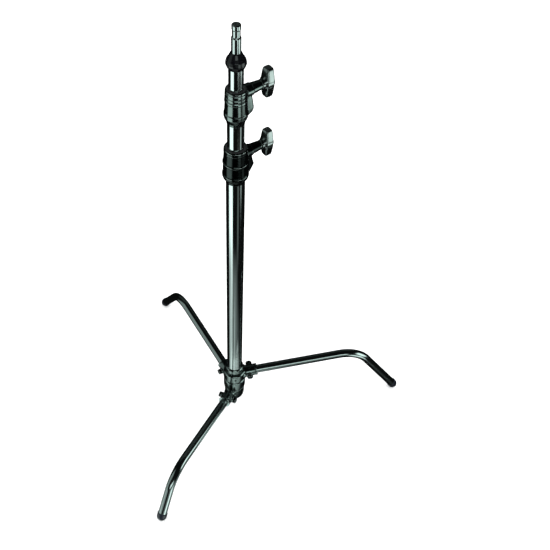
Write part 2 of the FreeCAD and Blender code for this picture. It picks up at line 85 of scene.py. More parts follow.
def low(node):
    """The lowest corner of a frame piece, in millimetres."""
    return np.array(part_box(node)[0]) / MM


def high(node):
    """The highest corner of a frame piece, in millimetres."""
    return np.array(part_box(node)[1]) / MM


def middle(node):
    """The centre of a frame piece's box, in millimetres."""
    return (low(node) + high(node)) / 2


print("column top", high("spigot")[2], "mm, base tube top", high("base_tube")[2], "mm")

# %% [markdown]
# ## Node recipes
# A finish is a small sum: a colour plus a little noise, a roughness that grows where hands touch.
# Laying each Math node by hand hides the sum, so a wrapped socket does the arithmetic: the plus
# sign lays an Add node, and so on. Every other node comes from one method, `node`.

# %% A wrapped socket and the recipe it belongs to
class Wire:
    """An output socket that takes part in arithmetic: each operator lays one Math node."""

    def __init__(self, recipe, socket):
        self.recipe = recipe
        self.socket = socket

    def maths(self, operation, *values):
        return self.recipe.node("Math", {"operation": operation}, values)

    def __add__(self, other):
        return self.maths("ADD", self, other)

    def __sub__(self, other):
        return self.maths("SUBTRACT", self, other)

    def __mul__(self, other):
        return self.maths("MULTIPLY", self, other)

    def __truediv__(self, other):
        return self.maths("DIVIDE", self, other)

    def __pow__(self, other):
        return self.maths("POWER", self, other)

    def __rsub__(self, other):
        return self.maths("SUBTRACT", other, self)

    __radd__ = __add__
    __rmul__ = __mul__


class Recipe:
    """A node tree that is being written."""

    def __init__(self, tree):
        self.tree = tree
        tree.nodes.clear()

    def node(self, kind, settings=None, values=(), output=0):
        """Lays one node: its settings first, then the values or links of its sockets."""
        made = self.tree.nodes.new("ShaderNode" + kind)
        for name, value in (settings or {}).items():
            if name == "stops":
                self.set_stops(made.color_ramp, value)
            else:
                setattr(made, name, value)
        pairs = values.items() if isinstance(values, dict) else enumerate(values)
        for key, value in pairs:
            if isinstance(value, Wire):
                self.tree.links.new(value.socket, made.inputs[key])
            else:
                made.inputs[key].default_value = value
        return Wire(self, made.outputs[output]) if made.outputs else None

    def set_stops(self, ramp, stops):
        """Sets the (position, colour) stops of a ramp; a plain number is a grey."""
        while len(ramp.elements) < len(stops):
            ramp.elements.new(1)
        for element, (position, colour) in zip(ramp.elements, stops):
            element.position = position
            element.color = (*([colour] * 3), 1) if isinstance(colour, (int, float)) else (*colour, 1)

    def noise(self, where, scale, detail=3.0):
        """Cloudy noise from 0 to 1."""
        return self.node("TexNoise", {}, {"Vector": where, "Scale": scale, "Detail": detail}, "Fac")

    def plateau(self, value, start, end, soft):
        """1 from start to end and 0 outside, with smooth slopes of the width soft."""
        slope = {"interpolation_type": "SMOOTHSTEP"}
        rise = self.node("MapRange", slope, {"Value": value, "From Min": start - soft, "From Max": start})
        fall = self.node("MapRange", slope, {"Value": value, "From Min": end, "From Max": end + soft})
        return rise * (1 - fall)


print("recipes are ready")

# %% [markdown]
# ## Studio
# Mirror-like plating shows its surroundings, so the studio is part of the finish. A dark room with
# soft lit patches gives the long white streaks on dark tubes. The room is written by direction: a
# bearing round the stand and an elevation, and each patch is a plateau in both. A patch lies
# infinitely far away and looks the same from every piece, so three lit cards near the stand light
# single pieces from close by. A wide lamp above lights the pale floor and stays out of the plating.

# %% The room that the plating reflects
DEGREES = 180 / math.pi
STUDIO_TINT = (0.86, 1.0, 0.965, 1)
DARK_ROOM = 0.006

# Each row: bearing from, to and blur, elevation from, to and blur, all in degrees, and a strength.
LIGHTS = [
    (-78, -37, 7, -60, -24, 7, 0.60),
    (-78, -37, 7, -46, -27, 4, 1.30),
    (-46, -38, 3, -50, -46, 3, 0.80),
    (-100, -66, 8, -22, 50, 8, 0.38),
    (-68, -40, 10, -22, 2, 8, 0.45),
    (26, 44, 5, -33.5, -9, 2, 1.70),
    (62, 76, 5, -43, -39, 2.5, 0.50),
    (26, 40, 5, -47, -43, 3, 0.16),
    (40, 80, 8, -36, -32, 3, 0.05),
    (-8, 20, 9, 15, 25, 5, 1.70),
    (-7, 4, 4, -62, -54, 3, 0.35),
    (4, 40, 10, -20, 4, 8, 0.20),
    (150, 180, 14, 20, 50, 8, 0.04),
    (-180, -150, 14, 20, 50, 8, 0.04),
]


def write_room():
    """World light by direction: bearing 0 is the front, positive to the right; elevation is up."""
    world = bpy.data.worlds.new("studio_room")
    world.use_nodes = True
    bpy.context.scene.world = world
    room = Recipe(world.node_tree)
    direction = room.node("TexCoord")
    x, y, z = [room.node("SeparateXYZ", {}, [direction], axis) for axis in range(3)]
    bearing = x.maths("ARCTAN2", x, 0 - y) * DEGREES
    elevation = z.maths("ARCSINE", z) * DEGREES

    light = DARK_ROOM
    for start, end, blur, foot, top, lift, strength in LIGHTS:
        patch = room.plateau(bearing, start, end, blur) * room.plateau(elevation, foot, top, lift)
        light = patch * strength + light
    seen = room.node("Background", {}, [STUDIO_TINT, light])
    pale = room.node("Background", {}, [(1, 1, 1, 1), 1.0])
    camera_ray = room.node("LightPath")
    mixed = room.node("MixShader", {}, [camera_ray, seen, pale])
    room.node("OutputWorld", {}, {"Surface": mixed})


write_room()
print("world:", bpy.context.scene.world.name)

# %% [markdown]
# The camera stands in front of the stand, above it and tilted down, and leans a little to one
# side. Its turn, tilt and lean are three plain angles.

# %% Camera, lamp and floor
CAMERA_BACK = 1.0125
CAMERA_HEIGHT = 1.6983
CAMERA_TURN = 4.641
CAMERA_TILT = 49.941
CAMERA_LEAN = -3.851
LENS = 50.207
FLOOR_HALF = 12
LAMP_SIZE, LAMP_HEIGHT, LAMP_ENERGY = 26, 6, 4200


def place_camera():
    """Looks down by the tilt, turned to the right, and leaning about its own line of sight."""
    camera = bpy.data.objects.new("camera", bpy.data.cameras.new("camera"))
    bpy.context.collection.objects.link(camera)
    turn, tilt, lean = np.radians([CAMERA_TURN, CAMERA_TILT, CAMERA_LEAN])
    camera.location = (0, -CAMERA_BACK, CAMERA_HEIGHT)
    camera.rotation_mode = "XYZ"
    camera.rotation_euler = camera_stance(turn, tilt, lean).to_euler()
    camera.data.lens = LENS
    camera.data.clip_start = 0.05
    bpy.context.scene.camera = camera


def camera_stance(turn, tilt, lean):
    """The turn about the upright, after the tilt from looking straight down, after the lean."""
    return (Matrix.Rotation(-turn, 3, "Z") @ Matrix.Rotation(math.pi / 2 - tilt, 3, "X")
            @ Matrix.Rotation(-lean, 3, "Z"))


def hang_lamp():
    """A soft lamp as wide as the floor, so that the floor is evenly pale out to its edge."""
    lamp = bpy.data.lights.new("overhead", "AREA")
    lamp.shape = "SQUARE"
    lamp.size = LAMP_SIZE
    lamp.energy = LAMP_ENERGY
    holder = bpy.data.objects.new("overhead", lamp)
    holder.location = (0, 0, LAMP_HEIGHT)
    holder.visible_glossy = False
    bpy.context.collection.objects.link(holder)


def lay_floor():
    """A square of pale paint at height zero, which the plating doesn't mirror."""
    corners = [(-FLOOR_HALF, -FLOOR_HALF, 0), (FLOOR_HALF, -FLOOR_HALF, 0),
               (FLOOR_HALF, FLOOR_HALF, 0), (-FLOOR_HALF, FLOOR_HALF, 0)]
    mesh = bpy.data.meshes.new("floor")
    mesh.from_pydata(corners, [], [(0, 1, 2, 3)])
    floor = bpy.data.objects.new("floor", mesh)
    bpy.context.collection.objects.link(floor)
    paint = bpy.data.materials.new("floor_paint")
    paint.use_nodes = True
    recipe = Recipe(paint.node_tree)
    surface = recipe.node("BsdfPrincipled", {}, {"Base Color": (0.93, 0.94, 0.94, 1), "Roughness": 0.9,
                                                 "Specular IOR Level": 0.1})
    recipe.node("OutputMaterial", {}, {"Surface": surface})
    mesh.materials.append(paint)
    floor.visible_glossy = False


def glow_card(name, corner, one, other, strength, fade=1 / 3):
    """A lit card that only the plating sees: its light is the product of a plateau along each side.

    The card is spanned by the vectors one and other from its corner. The part of each side that
    fade says is dimmed at either end. The vectors lie along the axes, so a place on the card is
    read from two Object coordinates.
    """
    corner, one, other = (np.array(row, float) for row in (corner, one, other))
    mesh = bpy.data.meshes.new(name)
    mesh.from_pydata([corner, corner + one, corner + one + other, corner + other], [], [(0, 1, 2, 3)])
    card = bpy.data.objects.new(name, mesh)
    bpy.context.collection.objects.link(card)
    glow = bpy.data.materials.new(name + "_glow")
    glow.use_nodes = True
    recipe = Recipe(glow.node_tree)
    place = recipe.node("TexCoord", {}, (), "Object")
    for span in (one, other):
        axis = int(np.argmax(np.abs(span)))
        ends = sorted((corner[axis], corner[axis] + span[axis]))
        soft = (ends[1] - ends[0]) * fade
        level = recipe.node("SeparateXYZ", {}, [place], axis)
        strength = recipe.plateau(level, ends[0] + soft, ends[1] - soft, soft) * strength
    lit = recipe.node("Emission", {}, {"Color": STUDIO_TINT, "Strength": strength})
    clear = recipe.node("BsdfTransparent")
    recipe.node("OutputMaterial", {}, {"Surface": recipe.node("AddShader", {}, [lit, clear])})
    mesh.materials.append(glow)
    card.visible_camera = card.visible_diffuse = card.visible_shadow = False


place_camera()
hang_lamp()
lay_floor()
glow_card("floor_card", (-0.48, -0.56, 0.001), (0.78, 0, 0), (0, 0.56, 0), 0.22)
glow_card("side_card", (1.25, -0.82, 0.03), (0, 1.0, 0), (0, 0, 0.85), 2.0, 0.2)
glow_card("near_card", (-0.17, -0.18, 0.001), (0.36, 0, 0), (0, 0.14, 0), 0.75)
bpy.context.scene.view_settings.view_transform = "Standard"
print("camera at", tuple(bpy.context.scene.camera.location))

# %% [markdown]
# ## Finishes
# The tubes are drawn steel with a black nickel plating: nearly a mirror, with hair-fine lines
# along the tube and the dull patches that hands leave. The castings and knobs carry a darker
# plating on a rougher skin, rubbed brighter along their edges. The cap is a gloss moulding, and the
# feet are rubber.

# %% The recipes of the finishes
def finish(name, write):
    """A material whose surface is what write(recipe) returns."""
    material = bpy.data.materials.new(name)
    material.use_nodes = True
    recipe = Recipe(material.node_tree)
    recipe.node("OutputMaterial", {}, {"Surface": write(recipe)})
    return material


def shade(recipe, where, dark, light, scale):
    """A colour that drifts slowly between two tones."""
    drift = recipe.noise(where, scale, 4.0)
    return recipe.node("Mix", {"data_type": "RGBA"}, {0: drift, 6: (*dark, 1), 7: (*light, 1)}, 2)


def drawn_plating(dark, light, gloss):
    """Plating on drawn tube: lines that follow the tube, and smudges that dull it."""
    def write(recipe):
        place = recipe.node("TexCoord", {}, (), "Object")
        strip = recipe.node("UVMap", {"uv_map": "strip"})
        stretched = recipe.node("Mapping", {}, {"Vector": strip, "Scale": (900, 6, 1)})
        lines = recipe.noise(stretched, 1.0, 2.0)
        smudge = recipe.noise(place, 22.0, 5.0)
        pits = recipe.noise(place, 1400.0, 1.0)
        rough = gloss + lines * 0.05 + (smudge ** 3) * 0.16 + pits * 0.02
        bump = recipe.node("Bump", {}, {"Strength": 0.06, "Distance": 0.0001, "Height": lines})
        colour = shade(recipe, place, dark, light, 9.0)
        return recipe.node("BsdfPrincipled", {}, {"Base Color": colour, "Metallic": 1.0,
                                                  "Roughness": rough, "Normal": bump})
    return write


RUBBED = (0.55, 0.60, 0.58, 1)


def cast_plating(dark, light, gloss, grain, rub=0.7):
    """Plating on a casting: a skin with shallow grain, rubbed bright where the attribute wear says."""
    def write(recipe):
        place = recipe.node("TexCoord", {}, (), "Object")
        skin = recipe.noise(place, 420.0, 5.0)
        waves = recipe.noise(place, 60.0, 2.0)
        smudge = recipe.noise(place, 30.0, 4.0)
        wear = recipe.node("Attribute", {"attribute_name": "wear"}, (), "Fac")
        rough = gloss + skin * 0.08 + (smudge ** 2) * 0.12
        bump = recipe.node("Bump", {}, {"Strength": grain, "Distance": 0.0003, "Height": skin * 0.4 + waves})
        base = shade(recipe, place, dark, light, 26.0)
        colour = recipe.node("Mix", {"data_type": "RGBA"}, {0: wear * rub, 6: base, 7: RUBBED}, 2)
        return recipe.node("BsdfPrincipled", {}, {"Base Color": colour, "Metallic": 1.0,
                                                  "Roughness": rough, "Normal": bump})
    return write


def moulding(dark, light, gloss, coat, grain):
    """Moulded plastic or rubber with a faint grain and worn, duller spots."""
    def write(recipe):
        place = recipe.node("TexCoord", {}, (), "Object")
        fine = recipe.noise(place, 1100.0, 2.0)
        worn = recipe.noise(place, 45.0, 4.0)
        rough = gloss + (worn ** 2) * 0.2 + fine * 0.03
        bump = recipe.node("Bump", {}, {"Strength": grain, "Distance": 0.0002, "Height": fine})
        colour = shade(recipe, place, dark, light, 60.0)
        return recipe.node("BsdfPrincipled", {}, {"Base Color": colour, "Roughness": rough,
                                                  "Coat Weight": coat, "Coat Roughness": 0.06,
                                                  "Normal": bump})
    return write


FINISH = {
    "plated_tube": finish(
        "black_nickel_tube", drawn_plating((0.50, 0.55, 0.54), (0.60, 0.65, 0.64), 0.04)),
    "plated_leg": finish(
        "black_nickel_leg", drawn_plating((0.40, 0.45, 0.44), (0.50, 0.56, 0.55), 0.06)),
    "plated_pin": finish(
        "black_nickel_pin", drawn_plating((0.34, 0.38, 0.37), (0.44, 0.49, 0.48), 0.05)),
    "lower_collar_casting": finish(
        "dark_casting", cast_plating((0.016, 0.021, 0.020), (0.036, 0.044, 0.042), 0.11, 0.10, 0.95)),
    "upper_collar_casting": finish(
        "grey_casting", cast_plating((0.13, 0.165, 0.155), (0.20, 0.24, 0.225), 0.10, 0.08)),
    "hub_casting": finish(
        "hub_casting", cast_plating((0.16, 0.20, 0.19), (0.30, 0.35, 0.335), 0.09, 0.2)),
    "knob_enamel": finish(
        "knob_enamel", cast_plating((0.27, 0.30, 0.29), (0.35, 0.38, 0.37), 0.10, 0.06)),
    "cap_plastic": finish(
        "cap_moulding", moulding((0.0015, 0.0015, 0.002), (0.003, 0.003, 0.004), 0.07, 0.0, 0.02)),
    "liner_plastic": finish(
        "liner_moulding", moulding((0.01, 0.01, 0.011), (0.02, 0.02, 0.021), 0.45, 0.0, 0.2)),
    "guide_nylon": finish(
        "guide_nylon", moulding((0.62, 0.61, 0.56), (0.74, 0.73, 0.69), 0.42, 0.0, 0.1)),
    "washer_nylon": finish(
        "washer_nylon", moulding((0.02, 0.02, 0.022), (0.04, 0.04, 0.043), 0.4, 0.0, 0.1)),
    "foot_rubber": finish(
        "foot_rubber", moulding((0.0025, 0.003, 0.008), (0.005, 0.006, 0.014), 0.30, 0.4, 0.3)),
    "fastener_steel": finish(
        "fastener_steel", cast_plating((0.28, 0.31, 0.31), (0.42, 0.45, 0.45), 0.2, 0.1)),
    "dark_bolt": finish(
        "dark_bolt", cast_plating((0.012, 0.014, 0.016), (0.03, 0.033, 0.036), 0.2, 0.1)),
    "brake_brass": finish(
        "brake_brass", cast_plating((0.50, 0.35, 0.12), (0.62, 0.45, 0.18), 0.25, 0.1)),
}
print(len(FINISH), "finishes; slots without one:", sorted(set(SLOT.values()) - set(FINISH)))

# %% [markdown]
# ## Surfaces
# Nearly every piece is a profile carried along a line: a tube is two circles along a straight
# line, a leg is the same along a bent one, a knob neck is a circle that grows. So one function
# makes them all. The profile is a list of stations, each a distance along the line and a radius,
# and its corners are rounded first, because no real edge is perfectly sharp and it's the rounded
# edge that shines.

# %% Outlines with rounded corners
def rounded(corners, closed=False, steps=6):
    """An outline of (along, across, corner radius) rows with each corner turned into an arc.

    Unit vectors a and b point from the corner along its two edges, and half is half the angle
    between them. The arc touches the edges at radius / tan(half), its centre is radius / sin(half)
    along their bisector, and its points swing from one touch to the other at an even pace. One
    more point on each edge keeps the bending of the shading beside the arc.
    """
    table = np.array([(*row, 0.3)[:3] for row in corners], float)
    points, radius = table[:, :2], table[:, 2:]
    before = np.roll(points, 1, 0) - points
    after = np.roll(points, -1, 0) - points
    room = np.hypot(*before.T)[:, None], np.hypot(*after.T)[:, None]
    a = before / np.maximum(room[0], 1e-9)
    b = after / np.maximum(room[1], 1e-9)
    half = np.arccos(np.clip((a * b).sum(1, keepdims=True), -1, 1)) / 2
    half = np.clip(half, 1e-3, math.pi / 2 - 1e-3)
    radius = np.minimum(radius, 0.45 * np.minimum(*room) * np.tan(half))
    touch = radius / np.tan(half)
    bisector = (a + b) / np.maximum(np.hypot(*(a + b).T)[:, None], 1e-9)
    centre = points + bisector * radius / np.sin(half)
    swing = (math.pi - 2 * half)[:, None]
    share = np.linspace(0, 1, steps)[None, :, None]
    start = (points + a * touch - centre)[:, None]
    end = (points + b * touch - centre)[:, None]
    swung = (np.sin((1 - share) * swing) * start + np.sin(share * swing) * end) / np.sin(swing)
    arc = centre[:, None] + swung
    lead = points + a * (touch + 0.2 * (room[0] - touch).clip(0, 2))
    tail = points + b * (touch + 0.2 * (room[1] - touch).clip(0, 2))
    rows = np.concatenate([lead[:, None], arc, tail[:, None]], axis=1)
    if closed:
        ring = rows.reshape(-1, 2)
        return np.concatenate([ring, ring[:1]])
    return np.concatenate([points[:1], rows[1:-1].reshape(-1, 2), points[-1:]])


def fine(outline, step):
    """The same outline with more points, so that none of its pieces is longer than the step."""
    length = np.append(0, np.cumsum(np.hypot(*np.diff(outline, axis=0).T)))
    where = np.union1d(length, np.arange(0, length[-1], step))
    return np.stack([np.interp(where, length, outline[:, n]) for n in (0, 1)], axis=1)


square = [(0, 0), (9, 0), (9, 9), (0, 9)]
print("a square with round corners has", len(rounded(square, closed=True)), "points")

# %% [markdown]
# A spine is the line that a profile follows. It answers one question: at a distance along me,
# where am I, and which two directions lie across me?

# %% Spines
UP = np.array([0.0, 0.0, 1.0])


def bearing_of(node):
    """The direction from the column to a frame piece, as a flat unit vector."""
    flat = middle(node)[:2]
    return np.append(flat / np.hypot(*flat), 0)


def straight(start, along):
    """A straight spine: start plus distance times the unit vector along."""
    along = np.asarray(along, float) / np.linalg.norm(along)
    helper = UP if abs(along[2]) < 0.9 else np.array([1.0, 0, 0])
    side = np.cross(helper, along)
    side /= np.linalg.norm(side)
    lift = np.cross(along, side)

    def spine(distance):
        ones = np.ones((len(distance), 1))
        return np.asarray(start, float) + distance[:, None] * along, ones * lift, ones * side
    return spine


def bent(start, outward, rise, run, bend_radius, turn):
    """A spine in an upright plane: straight and rising for run, a round bend down, then straight.

    Along the bend the slope falls in step with the distance, so the height and the reach are the
    integrals of its sine and cosine: differences of sines and cosines times the bend radius.
    """
    side = np.cross(UP, outward)

    def spine(distance):
        swung = np.clip((distance - run) / bend_radius, 0, turn)
        before = np.minimum(distance, run)
        beyond = np.maximum(distance - run - bend_radius * turn, 0)
        slope = rise - swung
        reach = before * np.cos(rise) + bend_radius * (np.sin(rise) - np.sin(slope)) + beyond * np.cos(slope)
        height = before * np.sin(rise) + bend_radius * (np.cos(slope) - np.cos(rise)) + beyond * np.sin(slope)
        centre = start + reach[:, None] * outward + height[:, None] * UP
        lift = -np.sin(slope)[:, None] * outward + np.cos(slope)[:, None] * UP
        return centre, lift, np.ones((len(distance), 1)) * side
    return spine


COLUMN = straight((0, 0, 0), UP)

# %% [markdown]
# Carrying a profile along a spine gives a grid of points: one row for each station, one column for
# each direction round the spine. Where the first and last rows shrink to the spine, or meet each
# other, the grid closes into a shell with no holes.

# %% Carry a profile along a spine
def carried(profile, spine=COLUMN, around=96):
    """The grid centre + radius * (cos t * lift + sin t * side), t going once round."""
    turn = np.linspace(0, 2 * math.pi, around + 1)[None, :, None]
    centre, lift, side = spine(profile[:, 0])
    radius = profile[:, 1, None, None]
    return centre[:, None] + radius * (np.cos(turn) * lift[:, None] + np.sin(turn) * side[:, None])


def swapped(profile):
    """(radius, height) rows as (height, radius) rows, the order that carried wants."""
    return [(row[1], row[0], *row[2:]) for row in profile]


def lathe(profile, spine=COLUMN, around=96, closed=False):
    """A turned shell from (radius, height, corner radius) rows."""
    return carried(rounded(swapped(profile), closed), spine, around)


# %% Make one piece from its shells
def quads(rows, columns, first):
    """Corner numbers of the cells of a grid, as one row of four for each cell."""
    i, j = np.meshgrid(np.arange(rows - 1), np.arange(columns - 1), indexing="ij")
    corner = (first + i * columns + j).ravel()
    return np.stack([corner, corner + 1, corner + columns + 1, corner + columns], axis=1)


def strip_map(grid):
    """Metres round and metres along, for each point of a grid: the map that drawn lines follow."""
    around = np.linalg.norm(np.diff(grid, axis=1), axis=2).sum(1).max() * np.linspace(0, 1, grid.shape[1])
    steps = np.linalg.norm(np.diff(grid, axis=0), axis=2).max(1)
    along = np.append(0, np.cumsum(steps))
    return np.stack(np.broadcast_arrays(around[None, :], along[:, None]), axis=2) * MM


def close_up(mesh):
    """Merges the seam and the poles, and turns every face outwards."""
    work = bmesh.new()
    work.from_mesh(mesh)
    bmesh.ops.remove_doubles(work, verts=work.verts, dist=2e-6)
    bmesh.ops.dissolve_degenerate(work, edges=work.edges, dist=1e-7)
    bmesh.ops.recalc_face_normals(work, faces=work.faces)
    work.to_mesh(mesh)
    work.free()


def shells_to_mesh(name, shells):
    """One mesh from several grids, with the strip map as its UV layer."""
    corners = np.concatenate([grid.reshape(-1, 3) for grid in shells]) * MM
    counts = np.cumsum([0] + [grid.shape[0] * grid.shape[1] for grid in shells])
    faces = np.concatenate([quads(*grid.shape[:2], first) for grid, first in zip(shells, counts)])
    strips = np.concatenate([strip_map(grid).reshape(-1, 2) for grid in shells])
    mesh = bpy.data.meshes.new(name)
    mesh.from_pydata(corners, [], faces.tolist())
    mesh.uv_layers.new(name="strip").data.foreach_set("uv", strips[faces.ravel()].ravel())
    close_up(mesh)
    return mesh


RUBBED_FROM, RUBBED_FULLY = 0.35, 1.2


def mark_edges(mesh):
    """Writes the attribute wear: how far plating is rubbed bright, from the outward bend.

    Along an edge from a to b the bend is 2 (a - b) . n / |a - b|^2, with n the normal at a: one
    over the radius of the round edge, in millimetres. A corner takes the largest of its bends.
    """
    places = np.empty(len(mesh.vertices) * 3)
    normals = np.empty_like(places)
    mesh.vertices.foreach_get("co", places)
    mesh.vertices.foreach_get("normal", normals)
    places, normals = places.reshape(-1, 3) / MM, normals.reshape(-1, 3)
    ends = np.empty(len(mesh.edges) * 2, int)
    mesh.edges.foreach_get("vertices", ends)
    first, second = np.concatenate([ends.reshape(-1, 2), ends.reshape(-1, 2)[:, ::-1]]).T
    gap = places[first] - places[second]
    bend = np.zeros(len(places))
    np.maximum.at(bend, first, 2 * (gap * normals[first]).sum(1) / np.maximum((gap ** 2).sum(1), 1e-6))
    share = np.clip((bend - RUBBED_FROM) / (RUBBED_FULLY - RUBBED_FROM), 0, 1)
    mesh.attributes.new("wear", "FLOAT", "POINT").data.foreach_set("value", share)


SHARP = math.radians(38)


def smooth(mesh):
    """Shades round faces smoothly and keeps an edge where two faces meet at more than SHARP."""
    mesh.polygons.foreach_set("use_smooth", np.ones(len(mesh.polygons), bool))
    mesh.set_sharp_from_angle(angle=SHARP)


def piece(node, shells, cast=None, holes=None):
    """One object from its shells: it stands for a frame piece, rides with it and takes its finish."""
    made = bpy.data.objects.new("fine_" + node, shells_to_mesh("fine_" + node, shells))
    bpy.context.collection.objects.link(made)
    made.data.materials.append(FINISH[SLOT[node]])
    if cast:
        fuse(made, cast)
    if holes:
        drill(made, holes)
    smooth(made.data)
    mark_edges(made.data)
    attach(made, frame["nodes"][node]["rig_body"])
    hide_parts(node)
    print(f"{made.name:28s} {len(made.data.polygons):6d} faces")
    return made


def settle(made):
    """Replaces an object's mesh with what its modifiers make of it."""
    bpy.context.view_layer.update()
    graph = bpy.context.evaluated_depsgraph_get()
    finished = bpy.data.meshes.new_from_object(made.evaluated_get(graph))
    made.modifiers.clear()
    made.data = finished


def fuse(made, grain):
    """Melts overlapping shells into one skin with soft inner corners, as a casting has."""
    remesh = made.modifiers.new("fuse", "REMESH")
    remesh.mode = "VOXEL"
    remesh.voxel_size = grain * MM
    soften = made.modifiers.new("soften", "SMOOTH")
    soften.factor = 0.5
    soften.iterations = 5
    settle(made)


def drill(made, shells):
    """Cuts the shells out of a finished piece."""
    cutter = bpy.data.objects.new("cutter", shells_to_mesh("cutter", shells))
    bpy.context.collection.objects.link(cutter)
    cut = made.modifiers.new("drill", "BOOLEAN")
    cut.object = cutter
    cut.solver = "EXACT"
    settle(made)
    bpy.data.objects.remove(cutter)


# %% [markdown]
# ## Column
# Three plated tubes, each with a thin wall and a softened rim.

# %% The three tubes
TUBE_WALL = 1.5


def column_tube(node):
    """The wall of a tube as one closed outline, turned round the column."""
    outside = (high(node)[0] - low(node)[0]) / 2
    inside = outside - TUBE_WALL
    foot, top = low(node)[2], high(node)[2]
    ring = rounded(swapped([(inside, foot, 0.3), (outside, foot, 0.5), (outside, top, 0.5),
                            (inside, top, 0.3)]), closed=True)
    return piece(node, [carried(fine(ring, 12), around=128)])


for tube in ("base_tube", "riser_1_tube", "riser_2_tube"):
    column_tube(tube)

# %% [markdown]
# ## Clamp collars
# Each collar is a turned barrel with a thick lug on one side and a boss for the clamp screw. The
# barrel and the lug are one skin. Seen from above, the barrel is a circle and the lug a rounded
# bar, so the skin's radius in each direction is the larger of the two, with a smooth change
# between them that stands for the fillet.

# %% A barrel with a lug
LUG_HALF = 8
LUG_DRAFT = 1.4
FILLET = 1.6


def smooth_max(one, other, width):
    """The larger of two lengths, rounded over where they are about equal."""
    return (one + other + np.sqrt((one - other) ** 2 + width ** 2)) / 2


def lug_radius(angle, length, half, squareness=7):
    """How far a rounded bar reaches in a direction: a superellipse's radius in polar form."""
    forward = np.maximum(np.cos(angle), 1e-3)
    reach = ((np.abs(np.sin(angle)) / half) ** squareness
             + (forward / np.maximum(length, 1)) ** squareness) ** (-1 / squareness)
    return np.where(np.cos(angle) > 0, reach, 0)


def barrel_with_lug(skin, bore, lug, outward):
    """The grid of a collar: its skin swells over the lug, and its bore stays round."""
    outer = fine(rounded(swapped(skin)), 0.7)
    inner = rounded(swapped(bore))
    rows = np.concatenate([outer, inner, outer[:1]])
    near = np.radians(np.linspace(-34, 34, 150))
    far = np.radians(np.linspace(34, 326, 110))
    angle = np.concatenate([near, far[1:]])
    outline = fine(rounded(lug), 0.5)
    length = np.interp(rows[:, 0], outline[:, 0], outline[:, 1], left=0, right=0)[:, None]
    radius = rows[:, 1, None] * np.ones(len(angle))
    level = np.interp(rows[:, 0], outline[[0, -1], 0], (1, -1))[:, None]
    half = LUG_HALF + LUG_DRAFT * level
    swollen = smooth_max(radius, lug_radius(angle[None], length, half), FILLET)
    is_skin = np.arange(len(rows))[:, None] < len(outer)
    reach = np.where(is_skin & (length > 1), swollen, radius)
    side = np.cross(UP, outward)
    across = np.cos(angle)[None, :, None] * outward + np.sin(angle)[None, :, None] * side
    return rows[:, 0, None, None] * UP + reach[:, :, None] * across


def screw_boss(outward, height, start, root, end):
    """The tapering boss round the clamp screw, with a fillet where it leaves the lug."""
    line = straight(height * UP, outward)
    return lathe([(0, start), (11.2, start), (11.2, root, 1), (10.0, root + 2.2, 2), (8.5, end - 1, 0.6),
                  (7.8, end, 0.4), (4.3, end, 0.2), (4.2, end - 4), (0, end - 4)], line, 72)


# %% The lower collar
lock_way = bearing_of("base_lock_knob")
foot, top = low("base_collar")[2], high("base_collar")[2]
tube_top = high("base_tube")[2]
skin = [(17.55, foot), (18.0, foot, 0.2), (18.1, foot + 5, 0.2), (22.8, foot + 10.5, 1),
        (24.0, foot + 14.8, 1.3), (24.0, foot + 19, 1.3), (22.8, foot + 21.4, 0.5),
        (22.4, tube_top - 3.6, 0.4), (23.2, tube_top - 1.6, 1.0), (23.2, tube_top + 1.0, 1.0),
        (22.0, tube_top + 3, 0.4), (20.9, top - 9, 0.4), (21.4, top - 7, 0.6), (20.9, top - 1, 0.9),
        (19.4, top, 0.5)]
liner = 17.6
bore = [(liner, top, 0.4), (liner, top - 12, 0.2), (15.9, top - 12, 0.2), (15.9, tube_top, 0.2),
        (17.55, tube_top, 0.2), (17.55, foot)]
lug = [(763, 17), (768.5, 27.5, 3), (781, 36.2, 2.5), (791, 33.4, 2), (808, 30.6, 4), (815, 30.4, 3),
       (819, 17)]
lock_height = middle("base_lock_pad")[2]
piece("base_collar", [barrel_with_lug(skin, bore, lug, lock_way),
                      screw_boss(lock_way, lock_height, liner + 2, 30.2, 51.5)])

# %% The upper collar
foot, top = low("riser_collar")[2], high("riser_collar")[2]
tube_top = high("riser_1_tube")[2]
skin = [(15.05, foot), (15.6, foot, 0.3), (16.1, foot + 5, 0.3), (19.6, foot + 12.5, 1),
        (20.6, foot + 16, 0.9), (20.5, foot + 22.4, 1.1), (19.4, foot + 25, 0.5), (18.5, foot + 44, 0.4),
        (19.2, foot + 46, 0.6),
        (19.0, foot + 48.5, 0.5), (18.2, foot + 50, 0.3), (18.2, foot + 51.5, 0.3), (18.7, foot + 52.5, 0.3),
        (18.6, foot + 55, 0.3), (18.0, foot + 56, 0.3), (18.0, foot + 57.5, 0.3), (18.5, foot + 58.5, 0.3),
        (18.3, foot + 62.6, 0.4), (17.8, foot + 63.6, 0.3), (17.8, foot + 64.8, 0.3),
        (18.2, foot + 65.6, 0.4), (17.8, top - 0.8, 0.6), (16.5, top, 0.4)]
liner = 15.1
bore = [(liner, top, 0.3), (liner, top - 6, 0.2), (13.4, top - 6, 0.2), (13.4, tube_top, 0.2),
        (15.05, tube_top, 0.2), (15.05, foot)]
lug = [(894.3, 14), (895.6, 22, 2), (899, 29.5, 5), (905, 32.8, 6), (921, 30.6, 6), (931, 28.7, 3),
       (943, 28.6, 2), (946, 14)]
lock_height = middle("riser_lock_pad")[2]
piece("riser_collar", [barrel_with_lug(skin, bore, lug, lock_way),
                       screw_boss(lock_way, lock_height, liner + 2, 28.4, 48)])

# %% [markdown]
# ## Wing knobs
# A wing knob is one moulding: a neck that runs over the screw, a hub, and a flat wing above and
# below. Going from the lower tip to the upper tip, each level is a rounded rectangle that is widest
# at the hub. The same superellipse idea gives both the levels and the round ends.

